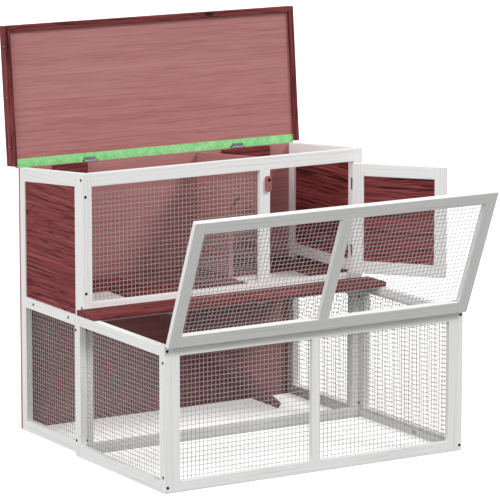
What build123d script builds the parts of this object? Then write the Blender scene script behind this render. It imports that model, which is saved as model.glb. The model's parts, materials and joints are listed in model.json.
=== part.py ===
from build123d import *
import math
import os

os.makedirs("parts", exist_ok=True)

# Two-storey rabbit cage: a raised house with a lower bay under it, and a wire run in front of it.
# Millimetres. X runs along the front, Y towards the back, Z up. The origin is the middle of the
# underside of the bottom rail in the house front, at ground level.

# House
house_width = 920.0
side_frame_depth = 358.0
front_height = 796.0
rear_height = 762.6
side_thickness = 20.0
front_thickness = 15.0
storey_height = 402.0
back_wall_thickness = 8.0
edge_break = 0.8

# Slat widths in the house
front_stile_width = 30.0
rear_stile_width = 28.0
side_top_rail_height = 38.0
side_mid_rail_low = 361.5
side_mid_rail_high = 392.5
bottom_rail_height = 30.0
front_top_rail_height = 37.5
front_mid_rail_height = 31.0
lower_front_top_rail_height = 26.0
mullion_left_x = 114.0
mullion_width = 33.5

# Plank panels
plank_thickness = 8.0
plank_recess = 4.5
plank_pitch = 91.0
groove_width = 2.4
groove_depth = 1.4

# Run
run_length = 505.0
run_rail_height = 29.0
run_side_stile_width = 30.0
run_front_stile_width = 27.0
run_mullion_width = 25.0
run_mullion_x = -4.5

# Ledge board over the rear end of the run
ledge_depth = 98.0
ledge_thickness = 14.5

# Floor, partition and ramp
floor_low = 403.0
floor_high = 418.0
sheet_high = 411.0
floor_split_depth = 196.0
front_board_left_x = -261.0
front_board_right_x = 350.0
hatchway_left_x = -150.0
hatchway_right_x = 80.0
bearer_height = 35.0
bearer_width = 20.0
cleat_low = 431.0
cleat_high = 463.0
partition_left_x = 124.0
partition_thickness = 12.0
arch_width = 156.0
arch_centre_depth = 97.0
arch_spring_height = 586.0
ramp_slope = 41.2
ramp_thickness = 18.5
ramp_width = 160.0
ramp_foot_x = 306.0
ramp_cleat_count = 8
ramp_cleat_height = 6.0
ramp_cleat_width = 10.0

# Lid
lid_board_thickness = 16.0
lid_board_depth = 36.0
lid_lip_below = 10.0
lid_side_gap = 4.0
lid_front_clearance = 2.0
roof_panel_thickness = 12.0
felt_thickness = 2.0
felt_fold = 27.0
felt_bend_radius = 1.6

# Hatch over the run
hatch_length = 390.0
hatch_thickness = 15.0
hatch_stile_width = 35.0
hatch_rail_width = 36.0
hatch_mullion_width = 33.0
hatch_lean = 22.5
hatch_play = 0.3

# Door of the right-hand room
door_stile_width = 34.0
door_rail_height = 36.0
door_gap = 2.0
door_open_angle = 131.0

# Turn button on the mullion
button_width = 17.0
button_length = 44.0
button_thickness = 9.0
button_pivot_x = 139.0
button_pivot_z = 730.5
button_end_to_pivot = 10.5
button_corner_radius = 5.0
button_chamfer = 1.2
button_play = 0.2
screw_radius = 2.0
screw_head_radius = 4.2
screw_head_height = 2.4
screw_head_chamfer = 1.4
screw_depth = 13.0

# Hinges: two leaves, three knuckles and a pin
leaf_thickness = 1.2
leaf_play = 0.1
knuckle_radius = 2.6
pin_radius = 1.3
pin_clearance = 0.06
knuckle_gap = 0.4
roof_hinge_length = 38.0
roof_hinge_reach = 11.0
roof_hinge_xs = (-226.5, 269.0)
hinge_block_spans = ((-355.0, -247.0), (208.0, 366.0))
hinge_block_thickness = 15.0
hinge_block_height = 60.0
hatch_hinge_length = 50.0
hatch_hinge_reach = 14.0
hatch_hinge_xs = (-290.0, 290.0)
door_leaf_thickness = 0.9
door_hinge_length = 35.0
door_hinge_reach = 15.6
door_hinge_zs = (497.0, 692.5)

# Wire nets, drawn with every fifth wire of a 12.7 mm square mesh
net_pitch = 63.5
net_wire = 2.0
net_thickness = 1.2
net_overlap = 10.0

# Positions that follow from the sizes above
half_width = house_width / 2
front_face_y = -front_thickness / 2
side_start_y = front_thickness / 2
side_end_y = side_start_y + side_frame_depth
run_end_y = side_start_y - run_length
roof_slope = math.degrees(math.atan((front_height - rear_height) / side_frame_depth))
roof_tangent = math.tan(math.radians(roof_slope))
inner_half_width = half_width - side_thickness
outer_half_width = half_width + side_thickness
mullion_right_x = mullion_left_x + mullion_width
upper_opening_low = storey_height + front_mid_rail_height
upper_opening_high = front_height - front_top_rail_height
upper_opening_half = half_width - front_stile_width


def roof_height(y):
    """Height of the sloping top edge of the side frames at a given y."""
    return front_height - (y - side_start_y) * roof_tangent


def save(part, name):
    part.label = name
    export_step(part, f"parts/{name}.step")


def slats(plane, rectangles, thickness):
    """Planed slats in one plane, each given as low u, low v, high u, high v."""
    with BuildPart() as piece:
        with BuildSketch(plane):
            for low_u, low_v, high_u, high_v in rectangles:
                with Locations(((low_u + high_u) / 2, (low_v + high_v) / 2)):
                    Rectangle(high_u - low_u, high_v - low_v)
        extrude(amount=thickness)
        chamfer(piece.edges(), length=edge_break)
    return piece.part


def net(plane, panes, thickness):
    """Flat welded nets in one plane, each pane given as low u, low v, high u, high v."""
    with BuildPart() as piece:
        with BuildSketch(plane):
            for low_u, low_v, high_u, high_v in panes:
                across = max(1, round((high_u - low_u) / net_pitch))
                up = max(1, round((high_v - low_v) / net_pitch))
                pitch_u = (high_u - low_u - net_wire) / across
                pitch_v = (high_v - low_v - net_wire) / up
                with Locations(((low_u + high_u) / 2, (low_v + high_v) / 2)):
                    Rectangle(high_u - low_u, high_v - low_v)
                    with GridLocations(pitch_u, pitch_v, across, up):
                        Rectangle(pitch_u - net_wire, pitch_v - net_wire, mode=Mode.SUBTRACT)
        extrude(amount=thickness)
    return piece.part


# The two side frames of the house stand on the ground and carry everything else. Each has two
# full-height stiles with tops cut to the roof slope, and three rails between them.
stile_inner_front_y = side_start_y + front_stile_width
stile_inner_rear_y = side_end_y - rear_stile_width
side_opening_depth = stile_inner_rear_y - stile_inner_front_y
side_middle_y = (stile_inner_front_y + stile_inner_rear_y) / 2


def under_roof(low_y, high_y, low_z, drop):
    """Upright outline in a side plane whose top edge follows the roof, a given drop below it."""
    return Polygon(
        (low_y, low_z),
        (high_y, low_z),
        (high_y, roof_height(high_y) - drop),
        (low_y, roof_height(low_y) - drop),
        align=None,
    )


for side, sign in (("left", -1), ("right", 1)):
    outer_plane = Plane.YZ.offset(sign * half_width)
    inward = -sign

    with BuildPart() as side_stiles:
        with BuildSketch(outer_plane):
            under_roof(side_start_y, stile_inner_front_y, 0, 0)
            under_roof(stile_inner_rear_y, side_end_y, 0, 0)
        extrude(amount=inward * side_thickness)
        chamfer(side_stiles.edges(), length=edge_break)
    save(side_stiles.part, f"house_{side}_stiles")

    with BuildPart() as side_rails:
        with BuildSketch(outer_plane):
            Polygon(
                (stile_inner_front_y, roof_height(stile_inner_front_y) - side_top_rail_height),
                (stile_inner_rear_y, roof_height(stile_inner_rear_y) - side_top_rail_height),
                (stile_inner_rear_y, roof_height(stile_inner_rear_y)),
                (stile_inner_front_y, roof_height(stile_inner_front_y)),
                align=None,
            )
            for low_z, high_z in ((side_mid_rail_low, side_mid_rail_high), (0, bottom_rail_height)):
                with Locations((side_middle_y, (low_z + high_z) / 2)):
                    Rectangle(side_opening_depth, high_z - low_z)
        extrude(amount=inward * side_thickness)
        chamfer(side_rails.edges(), length=edge_break)
    save(side_rails.part, f"house_{side}_rails")

    # Tongue-and-groove planks lie between the stiles, set back from the outer face, with a V
    # groove along every joint on both faces.
    panel_outer_x = sign * (half_width - plank_recess)
    panel_inner_x = sign * (half_width - plank_recess - plank_thickness)
    with BuildPart() as side_planks:
        with BuildSketch(Plane.YZ.offset(panel_outer_x)):
            under_roof(stile_inner_front_y, stile_inner_rear_y, side_mid_rail_high, side_top_rail_height)
        extrude(amount=inward * plank_thickness)
        with BuildSketch(Plane.XZ.offset(-stile_inner_front_y)):
            for joint in range(1, 4):
                joint_z = side_mid_rail_high + joint * plank_pitch
                for face_x, into in ((panel_outer_x, inward), (panel_inner_x, sign)):
                    Polygon(
                        (face_x, joint_z - groove_width / 2),
                        (face_x + into * groove_depth, joint_z),
                        (face_x, joint_z + groove_width / 2),
                        align=None,
                    )
        extrude(amount=-side_opening_depth, mode=Mode.SUBTRACT)
    save(side_planks.part, f"house_{side}_planks")

    # A thin cleat inside the planks, flush with the inner face of the frame.
    with BuildPart() as side_cleat:
        with BuildSketch(Plane.YZ.offset(sign * inner_half_width)):
            with Locations((side_middle_y, (cleat_low + cleat_high) / 2)):
                Rectangle(side_opening_depth, cleat_high - cleat_low)
        extrude(amount=sign * (side_thickness - plank_recess - plank_thickness))
        chamfer(side_cleat.edges(), length=edge_break)
    save(side_cleat.part, f"house_{side}_cleat")

    # The lower bay is closed at the side by a net stapled to the inside of the frame.
    bay_net = net(
        Plane.YZ.offset(sign * inner_half_width),
        [(
            stile_inner_front_y - net_overlap,
            bottom_rail_height - net_overlap,
            stile_inner_rear_y + net_overlap,
            floor_low - bearer_height - net_thickness,
        )],
        inward * net_thickness,
    )
    save(bay_net, f"house_{side}_net")

# Back wall: one plywood sheet behind the side frames, its top just under the roof slope.
back_wall_top = roof_height(side_end_y + back_wall_thickness) - 0.6
back_face_y = side_end_y + back_wall_thickness
with BuildPart() as back_wall:
    with BuildSketch(Plane.XZ.offset(-side_end_y)):
        with Locations((0, back_wall_top / 2)):
            Rectangle(house_width, back_wall_top)
    extrude(amount=-back_wall_thickness)
save(back_wall.part, "back_wall")

# Boards screwed inside the top of the back wall to take the roof hinges.
hinge_blocks = slats(
    Plane.XZ.offset(-side_end_y),
    [
        (low_x, back_wall_top - hinge_block_height, high_x, back_wall_top)
        for low_x, high_x in hinge_block_spans
    ],
    hinge_block_thickness,
)
save(hinge_blocks, "hinge_blocks")

# Upper front frame, laid over the front ends of the side frames. The stiles run full height with
# the rails between them, and the mullion stands between the rails.
front_plane = Plane.XZ.offset(-side_start_y)
upper_front_stiles = slats(
    front_plane,
    [
        (-half_width, storey_height, -upper_opening_half, front_height),
        (upper_opening_half, storey_height, half_width, front_height),
    ],
    front_thickness,
)
save(upper_front_stiles, "upper_front_stiles")

upper_front_rails = slats(
    front_plane,
    [
        (-upper_opening_half, storey_height, upper_opening_half, upper_opening_low),
        (-upper_opening_half, upper_opening_high, upper_opening_half, front_height),
    ],
    front_thickness,
)
save(upper_front_rails, "upper_front_rails")

with BuildPart() as upper_front_mullion:
    with BuildSketch(front_plane):
        mullion_centre_z = (upper_opening_low + upper_opening_high) / 2
        with Locations((mullion_left_x + mullion_width / 2, mullion_centre_z)):
            Rectangle(mullion_width, upper_opening_high - upper_opening_low)
    extrude(amount=front_thickness)
    chamfer(upper_front_mullion.edges(), length=edge_break)
    with BuildSketch(front_plane):
        with Locations((button_pivot_x, button_pivot_z)):
            Circle(screw_radius)
    extrude(amount=front_thickness, mode=Mode.SUBTRACT)
save(upper_front_mullion.part, "upper_front_mullion")

upper_front_net = net(
    front_plane,
    [(
        -inner_half_width + net_wire,
        upper_opening_low - net_overlap,
        partition_left_x - net_wire,
        upper_opening_high + net_overlap,
    )],
    -net_thickness,
)
save(upper_front_net, "upper_front_net")

# Lower front frame: the same build, open between the bay under the house and the run.
lower_front_stiles = slats(
    front_plane,
    [
        (-half_width, 0, -upper_opening_half, storey_height),
        (upper_opening_half, 0, half_width, storey_height),
    ],
    front_thickness,
)
save(lower_front_stiles, "lower_front_stiles")

lower_front_rails = slats(
    front_plane,
    [
        (-upper_opening_half, 0, upper_opening_half, bottom_rail_height),
        (
            -upper_opening_half,
            storey_height - lower_front_top_rail_height,
            upper_opening_half,
            storey_height,
        ),
    ],
    front_thickness,
)
save(lower_front_rails, "lower_front_rails")

# The run's side frames stand outside the ends of the front frames and reach forward from them.
run_opening_rear_y = side_start_y - run_side_stile_width
run_opening_front_y = run_end_y + run_side_stile_width
run_opening_high = storey_height - run_rail_height
for side, sign in (("left", -1), ("right", 1)):
    run_plane = Plane.YZ.offset(sign * half_width)
    run_side_stiles = slats(
        run_plane,
        [
            (run_end_y, 0, run_opening_front_y, storey_height),
            (run_opening_rear_y, 0, side_start_y, storey_height),
        ],
        sign * side_thickness,
    )
    save(run_side_stiles, f"run_{side}_stiles")

    run_side_rails = slats(
        run_plane,
        [
            (run_opening_front_y, 0, run_opening_rear_y, bottom_rail_height),
            (run_opening_front_y, run_opening_high, run_opening_rear_y, storey_height),
        ],
        sign * side_thickness,
    )
    save(run_side_rails, f"run_{side}_rails")

    run_side_net = net(
        run_plane,
        [(
            run_end_y + front_thickness + net_wire,
            bottom_rail_height - net_overlap,
            run_opening_rear_y + net_overlap,
            run_opening_high + net_overlap,
        )],
        -sign * net_thickness,
    )
    save(run_side_net, f"run_{side}_net")

# Run front frame, fitted between the side frames, with a mullion and two netted openings.
run_front_plane = Plane.XZ.offset(-run_end_y - front_thickness)
run_front_half = half_width - run_front_stile_width
run_front_stiles = slats(
    run_front_plane,
    [
        (-half_width, 0, -run_front_half, storey_height),
        (run_front_half, 0, half_width, storey_height),
    ],
    front_thickness,
)
save(run_front_stiles, "run_front_stiles")

run_front_rails = slats(
    run_front_plane,
    [
        (-run_front_half, 0, run_front_half, bottom_rail_height),
        (-run_front_half, run_opening_high, run_front_half, storey_height),
    ],
    front_thickness,
)
save(run_front_rails, "run_front_rails")

run_front_mullion = slats(
    run_front_plane,
    [(
        run_mullion_x - run_mullion_width / 2,
        bottom_rail_height,
        run_mullion_x + run_mullion_width / 2,
        run_opening_high,
    )],
    front_thickness,
)
save(run_front_mullion, "run_front_mullion")

run_net_low = bottom_rail_height - net_overlap
run_net_high = run_opening_high + net_overlap
run_front_net = net(
    run_front_plane,
    [
        (-run_front_half - net_overlap, run_net_low, run_mullion_x - net_wire, run_net_high),
        (run_mullion_x + net_wire, run_net_low, run_front_half + net_overlap, run_net_high),
    ],
    -net_thickness,
)
save(run_front_net, "run_front_net")

# Ledge: a painted board on the top rails of the run, its front edges rounded over.
with BuildPart() as ledge_board:
    with BuildSketch(Plane.XY.offset(storey_height)):
        with Locations((0, front_face_y - ledge_depth / 2)):
            Rectangle(2 * outer_half_width, ledge_depth)
    extrude(amount=ledge_thickness)
    front_edges = ledge_board.faces().sort_by(Axis.Y)[0].edges().filter_by(Axis.X)
    fillet(front_edges, radius=2.5)
save(ledge_board.part, "ledge_board")

# Floor of the house, carried by bearers that run from front to back. The ramp comes up through a
# hatchway against the back wall.
floor_split_y = side_start_y + floor_split_depth
bearer_low = floor_low - bearer_height
bearer_xs = (
    -inner_half_width + bearer_width / 2,
    hatchway_left_x - bearer_width / 2,
    partition_left_x + partition_thickness / 2,
    inner_half_width - bearer_width / 2,
)
floor_bearers = slats(
    Plane.XY.offset(bearer_low),
    [(x - bearer_width / 2, side_start_y, x + bearer_width / 2, side_end_y) for x in bearer_xs],
    bearer_height,
)
save(floor_bearers, "floor_bearers")


def floor_planks(spans, low_z, joints):
    """Floor planks that run along X, with V grooves in the top at the given joints."""
    with BuildPart() as piece:
        with BuildSketch(Plane.XY.offset(low_z)):
            for low_x, low_y, high_x, high_y in spans:
                with Locations(((low_x + high_x) / 2, (low_y + high_y) / 2)):
                    Rectangle(high_x - low_x, high_y - low_y)
        extrude(amount=floor_high - low_z)
        with BuildSketch(Plane.YZ.offset(-inner_half_width)):
            for joint_y in joints:
                Polygon(
                    (joint_y - groove_width / 2, floor_high),
                    (joint_y, floor_high - groove_depth),
                    (joint_y + groove_width / 2, floor_high),
                    align=None,
                )
        extrude(amount=2 * inner_half_width, mode=Mode.SUBTRACT)
    return piece.part


floor_rear_boards = floor_planks(
    [
        (-inner_half_width, floor_split_y, hatchway_left_x, side_end_y),
        (hatchway_right_x, floor_split_y, inner_half_width, side_end_y),
    ],
    floor_low,
    [(floor_split_y + side_end_y) / 2],
)
save(floor_rear_boards, "floor_rear_boards")

floor_sheet = slats(
    Plane.XY.offset(floor_low),
    [(-inner_half_width, side_start_y, inner_half_width, floor_split_y)],
    sheet_high - floor_low,
)
save(floor_sheet, "floor_sheet")

floor_front_boards = floor_planks(
    [
        (front_board_left_x, side_start_y, partition_left_x, floor_split_y),
        (front_board_right_x, side_start_y, inner_half_width, floor_split_y),
    ],
    sheet_high,
    [side_start_y + floor_split_depth / 2],
)
save(floor_front_boards, "floor_front_boards")

# Partition between the two rooms, with an arched doorway in its front half. Its foot steps down
# to the thinner sheet in front.
partition_clearance = 3.0
arch_y = side_start_y + arch_centre_depth
with BuildPart() as partition:
    with BuildSketch(Plane.YZ.offset(partition_left_x)):
        Polygon(
            (side_start_y, sheet_high),
            (floor_split_y, sheet_high),
            (floor_split_y, floor_high),
            (side_end_y, floor_high),
            (side_end_y, roof_height(side_end_y) - partition_clearance),
            (side_start_y, roof_height(side_start_y) - partition_clearance),
            align=None,
        )
        with Locations((arch_y, (sheet_high + arch_spring_height) / 2)):
            Rectangle(arch_width, arch_spring_height - sheet_high, mode=Mode.SUBTRACT)
        with Locations((arch_y, arch_spring_height)):
            Circle(arch_width / 2, mode=Mode.SUBTRACT)
    extrude(amount=partition_thickness)
save(partition.part, "partition")

# Ramp against the back wall: a board with a square-cut foot on the ground, its head cut to the
# bearer and the floor, and cleats across it for grip.
ramp_angle = math.radians(ramp_slope)
along_x, along_z = -math.cos(ramp_angle), math.sin(ramp_angle)
normal_x, normal_z = math.sin(ramp_angle), math.cos(ramp_angle)
ramp_low_head_z = (ramp_foot_x - hatchway_left_x) * math.tan(ramp_angle)
ramp_top_foot_x = ramp_foot_x + ramp_thickness * normal_x
ramp_top_foot_z = ramp_thickness * normal_z
ramp_high_head_x = ramp_top_foot_x - (floor_high - ramp_top_foot_z) / math.tan(ramp_angle)
ramp_side_plane = Plane.XZ.offset(-side_end_y)
with BuildPart() as ramp_board:
    with BuildSketch(ramp_side_plane):
        Polygon(
            (ramp_foot_x, 0),
            (ramp_top_foot_x, ramp_top_foot_z),
            (ramp_high_head_x, floor_high),
            (hatchway_left_x, floor_high),
            (hatchway_left_x, ramp_low_head_z),
            align=None,
        )
    extrude(amount=ramp_width)
save(ramp_board.part, "ramp_board")

cleat_reach = math.hypot(ramp_top_foot_x - ramp_high_head_x, floor_high - ramp_top_foot_z)
cleat_pitch = cleat_reach / (ramp_cleat_count + 1)
with BuildPart() as ramp_cleats:
    for number in range(1, ramp_cleat_count + 1):
        foot_x = ramp_top_foot_x + along_x * cleat_pitch * number
        foot_z = ramp_top_foot_z + along_z * cleat_pitch * number
        with BuildSketch(ramp_side_plane.offset(3)):
            Polygon(
                (foot_x, foot_z),
                (foot_x + along_x * ramp_cleat_width, foot_z + along_z * ramp_cleat_width),
                (
                    foot_x + along_x * (ramp_cleat_width - 2) + normal_x * ramp_cleat_height,
                    foot_z + along_z * (ramp_cleat_width - 2) + normal_z * ramp_cleat_height,
                ),
                (
                    foot_x + along_x * 2 + normal_x * ramp_cleat_height,
                    foot_z + along_z * 2 + normal_z * ramp_cleat_height,
                ),
                align=None,
            )
    extrude(amount=ramp_width - 6)
save(ramp_cleats.part, "ramp_cleats")


# Hinges are drawn in section, square to the pin. The u axis of the plane runs along the leaf, away
# from the pin, and its v axis points to the side on which the leaf lies.
def hinge_leaves(planes, length, reach, offset, thickness, carries_pin):
    """One kind of leaf for each plane: with the outer knuckles and the pin, or the middle knuckle."""
    third = length / 3
    with BuildPart() as leaves:
        for plane in planes:
            with BuildSketch(plane):
                with Locations((reach / 2, offset + thickness / 2)):
                    Rectangle(reach, thickness)
                Circle(knuckle_radius)
            extrude(amount=length)
            spaces = [third] if carries_pin else [0, 2 * third]
            for start in spaces:
                with BuildSketch(plane.offset(start - knuckle_gap / 2)):
                    Circle(knuckle_radius + knuckle_gap)
                extrude(amount=third + knuckle_gap, mode=Mode.SUBTRACT)
            with BuildSketch(plane):
                Circle(pin_radius if carries_pin else pin_radius + pin_clearance)
            extrude(amount=length, mode=Mode.ADD if carries_pin else Mode.SUBTRACT)
    return leaves.part


# Lid. It is drawn as it stands open, square to the roof slope: s runs up the lid from the hinge
# pins, and n runs from its underside to its felted outside, which faces back.
hinge_y = back_face_y + knuckle_radius + leaf_play
hinge_z = back_wall_top + leaf_thickness + leaf_play
slope_sin = math.sin(math.radians(roof_slope))
slope_cos = math.cos(math.radians(roof_slope))
lid_rear_s = knuckle_radius + knuckle_gap
lid_inner_s = (hinge_y - front_face_y + lid_front_clearance) / slope_cos
lid_outer_s = lid_inner_s + lid_board_thickness
lid_inner_x = half_width + lid_side_gap
lid_outer_x = lid_inner_x + lid_board_thickness
strip_n = leaf_play + leaf_thickness
panel_n = strip_n + felt_thickness
felt_n = panel_n + roof_panel_thickness
board_n = panel_n - lid_lip_below


def lid_level(n):
    """Plane of the lid at a given n, seen from its underside, with u along X and v along s."""
    return Plane(
        origin=(0, hinge_y + n * slope_cos, hinge_z - n * slope_sin),
        x_dir=(1, 0, 0),
        z_dir=(0, -slope_cos, slope_sin),
    )


with BuildPart() as lid_side_boards:
    with BuildSketch(lid_level(board_n)):
        for sign in (-1, 1):
            Polygon(
                (sign * lid_outer_x, lid_rear_s),
                (sign * lid_inner_x, lid_rear_s),
                (sign * lid_inner_x, lid_inner_s),
                (sign * lid_outer_x, lid_outer_s),
                align=None,
            )
    extrude(amount=-lid_board_depth)
    chamfer(lid_side_boards.edges(), length=edge_break)
save(lid_side_boards.part, "lid_side_boards")

with BuildPart() as lid_front_board:
    with BuildSketch(lid_level(board_n)):
        Polygon(
            (-lid_outer_x, lid_outer_s),
            (-lid_inner_x, lid_inner_s),
            (lid_inner_x, lid_inner_s),
            (lid_outer_x, lid_outer_s),
            align=None,
        )
    extrude(amount=-lid_board_depth)
    chamfer(lid_front_board.edges(), length=edge_break)
save(lid_front_board.part, "lid_front_board")

panel_rear_s = lid_rear_s + felt_thickness
with BuildPart() as lid_panel:
    with BuildSketch(lid_level(panel_n)):
        with Locations((0, (panel_rear_s + lid_inner_s) / 2)):
            Rectangle(2 * lid_inner_x, lid_inner_s - panel_rear_s)
    extrude(amount=-roof_panel_thickness)
save(lid_panel.part, "lid_panel")

# Roofing felt: over the outside of the panel, round its rear edge and back under it as a strip.
felt_section = Plane(
    origin=(-lid_inner_x, hinge_y, hinge_z),
    x_dir=(0, slope_sin, slope_cos),
    z_dir=(-1, 0, 0),
)
with BuildPart() as lid_felt:
    with BuildSketch(felt_section):
        Polygon(
            (lid_inner_s, felt_n),
            (lid_inner_s, felt_n + felt_thickness),
            (lid_rear_s, felt_n + felt_thickness),
            (lid_rear_s, strip_n),
            (lid_rear_s + felt_fold, strip_n),
            (lid_rear_s + felt_fold, panel_n),
            (panel_rear_s, panel_n),
            (panel_rear_s, felt_n),
            align=None,
        )
    extrude(amount=-2 * lid_inner_x)
    rear_corners = lid_felt.edges().filter_by(Axis.X).sort_by(lambda edge: edge.center().Z)[:2]
    fillet(rear_corners, radius=felt_bend_radius)
save(lid_felt.part, "lid_felt")

roof_hinge_starts = [x - roof_hinge_length / 2 for x in roof_hinge_xs]
roof_hinge_fixed = hinge_leaves(
    [
        Plane(origin=(x, hinge_y, hinge_z), x_dir=(0, -1, 0), z_dir=(1, 0, 0))
        for x in roof_hinge_starts
    ],
    roof_hinge_length,
    roof_hinge_reach,
    leaf_play,
    leaf_thickness,
    True,
)
save(roof_hinge_fixed, "roof_hinge_fixed_leaves")

roof_hinge_moving = hinge_leaves(
    [
        Plane(
            origin=(x + roof_hinge_length, hinge_y, hinge_z),
            x_dir=(0, slope_sin, slope_cos),
            z_dir=(-1, 0, 0),
        )
        for x in roof_hinge_starts
    ],
    roof_hinge_length,
    roof_hinge_reach,
    leaf_play,
    leaf_thickness,
    False,
)
save(roof_hinge_moving, "roof_hinge_lid_leaves")

# Hatch over the run. It is drawn open, leaning forward: s runs up the hatch from the hinge pins
# and h out of its upper face, which looks forward and down.
hatch_pin_y = run_end_y - knuckle_radius
hatch_pin_z = storey_height + hatch_play
hatch_face_h = leaf_play
lean_sin = math.sin(math.radians(hatch_lean))
lean_cos = math.cos(math.radians(hatch_lean))
hatch_low_s = knuckle_radius
hatch_high_s = hatch_low_s + hatch_length


def hatch_level(h):
    """Plane of the hatch at a given h, with u along X and v along s."""
    return Plane(
        origin=(0, hatch_pin_y - h * lean_cos, hatch_pin_z - h * lean_sin),
        x_dir=(1, 0, 0),
        z_dir=(0, -lean_cos, -lean_sin),
    )


hatch_inner_x = outer_half_width - hatch_stile_width
hatch_stiles = slats(
    hatch_level(hatch_face_h),
    [
        (-outer_half_width, hatch_low_s, -hatch_inner_x, hatch_high_s),
        (hatch_inner_x, hatch_low_s, outer_half_width, hatch_high_s),
    ],
    hatch_thickness,
)
save(hatch_stiles, "hatch_stiles")

hatch_opening_low_s = hatch_low_s + hatch_rail_width
hatch_opening_high_s = hatch_high_s - hatch_rail_width
hatch_rails = slats(
    hatch_level(hatch_face_h),
    [
        (-hatch_inner_x, hatch_low_s, hatch_inner_x, hatch_opening_low_s),
        (-hatch_inner_x, hatch_opening_high_s, hatch_inner_x, hatch_high_s),
    ],
    hatch_thickness,
)
save(hatch_rails, "hatch_rails")

hatch_mullion = slats(
    hatch_level(hatch_face_h),
    [(-hatch_mullion_width / 2, hatch_opening_low_s, hatch_mullion_width / 2, hatch_opening_high_s)],
    hatch_thickness,
)
save(hatch_mullion, "hatch_mullion")

hatch_net = net(
    hatch_level(hatch_face_h),
    [
        (
            -hatch_inner_x - net_overlap,
            hatch_opening_low_s - net_overlap,
            -net_wire,
            hatch_opening_high_s + net_overlap,
        ),
        (
            net_wire,
            hatch_opening_low_s - net_overlap,
            hatch_inner_x + net_overlap,
            hatch_opening_high_s + net_overlap,
        ),
    ],
    -net_thickness,
)
save(hatch_net, "hatch_net")

hatch_leaf_offset = knuckle_radius - leaf_thickness
hatch_hinge_starts = [x - hatch_hinge_length / 2 for x in hatch_hinge_xs]
hatch_hinge_fixed = hinge_leaves(
    [
        Plane(origin=(x, hatch_pin_y, hatch_pin_z), x_dir=(0, 0, -1), z_dir=(1, 0, 0))
        for x in hatch_hinge_starts
    ],
    hatch_hinge_length,
    hatch_hinge_reach,
    hatch_leaf_offset,
    leaf_thickness,
    True,
)
save(hatch_hinge_fixed, "hatch_hinge_fixed_leaves")

hatch_hinge_moving = hinge_leaves(
    [
        Plane(
            origin=(x + hatch_hinge_length, hatch_pin_y, hatch_pin_z),
            x_dir=(0, -lean_cos, -lean_sin),
            z_dir=(-1, 0, 0),
        )
        for x in hatch_hinge_starts
    ],
    hatch_hinge_length,
    hatch_hinge_reach,
    hatch_leaf_offset,
    leaf_thickness,
    False,
)
save(hatch_hinge_moving, "hatch_hinge_hatch_leaves")

# Door of the right-hand room, flush in its opening when shut. It is drawn swung open on its pins:
# u runs from the pins to the free edge and w from the outer face to the inner one.
door_pin_x = upper_opening_half - door_leaf_thickness - leaf_play
door_pin_y = front_face_y - knuckle_radius
door_angle = math.radians(door_open_angle)
door_u = (-math.cos(door_angle), -math.sin(door_angle), 0)
door_w = (-math.sin(door_angle), math.cos(door_angle), 0)
door_near_u = door_leaf_thickness + leaf_play
door_far_u = door_pin_x - mullion_right_x - door_gap
door_low = upper_opening_low + door_gap
door_high = upper_opening_high - door_gap
door_face_w = knuckle_radius


def door_level(w):
    """Plane of the door at a given w, with u along the door and v up."""
    return Plane(
        origin=(door_pin_x + w * door_w[0], door_pin_y + w * door_w[1], 0),
        x_dir=door_u,
        z_dir=door_w,
    )


door_stiles = slats(
    door_level(door_face_w),
    [
        (door_near_u, door_low, door_near_u + door_stile_width, door_high),
        (door_far_u - door_stile_width, door_low, door_far_u, door_high),
    ],
    front_thickness,
)
save(door_stiles, "door_stiles")

door_panel_near_u = door_near_u + door_stile_width
door_panel_far_u = door_far_u - door_stile_width
door_panel_low = door_low + door_rail_height
door_panel_high = door_high - door_rail_height
door_rails = slats(
    door_level(door_face_w),
    [
        (door_panel_near_u, door_low, door_panel_far_u, door_panel_low),
        (door_panel_near_u, door_panel_high, door_panel_far_u, door_high),
    ],
    front_thickness,
)
save(door_rails, "door_rails")

door_plank_w = door_face_w + (front_thickness - plank_thickness) / 2
door_plank_height = (door_panel_high - door_panel_low) / 3
door_groove_plane = Plane(
    origin=(
        door_pin_x + door_panel_far_u * door_u[0],
        door_pin_y + door_panel_far_u * door_u[1],
        0,
    ),
    x_dir=door_w,
    z_dir=(-door_u[0], -door_u[1], 0),
)
with BuildPart() as door_planks:
    with BuildSketch(door_level(door_plank_w)):
        door_panel_centre = (
            (door_panel_near_u + door_panel_far_u) / 2,
            (door_panel_low + door_panel_high) / 2,
        )
        with Locations(door_panel_centre):
            Rectangle(door_panel_far_u - door_panel_near_u, door_panel_high - door_panel_low)
    extrude(amount=plank_thickness)
    with BuildSketch(door_groove_plane):
        for joint in (1, 2):
            joint_z = door_panel_low + joint * door_plank_height
            for face_w, into in ((door_plank_w, 1), (door_plank_w + plank_thickness, -1)):
                Polygon(
                    (face_w, joint_z - groove_width / 2),
                    (face_w + into * groove_depth, joint_z),
                    (face_w, joint_z + groove_width / 2),
                    align=None,
                )
    extrude(amount=door_panel_far_u - door_panel_near_u, mode=Mode.SUBTRACT)
save(door_planks.part, "door_planks")

door_hinge_starts = [z - door_hinge_length / 2 for z in door_hinge_zs]
door_hinge_fixed = hinge_leaves(
    [
        Plane(
            origin=(door_pin_x, door_pin_y, z + door_hinge_length),
            x_dir=(0, 1, 0),
            z_dir=(0, 0, -1),
        )
        for z in door_hinge_starts
    ],
    door_hinge_length,
    door_hinge_reach,
    leaf_play,
    door_leaf_thickness,
    True,
)
save(door_hinge_fixed, "door_hinge_fixed_leaves")

door_hinge_moving = hinge_leaves(
    [
        Plane(origin=(door_pin_x, door_pin_y, z), x_dir=door_w, z_dir=(0, 0, 1))
        for z in door_hinge_starts
    ],
    door_hinge_length,
    door_hinge_reach,
    leaf_play,
    door_leaf_thickness,
    False,
)
save(door_hinge_moving, "door_hinge_door_leaves")

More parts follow.
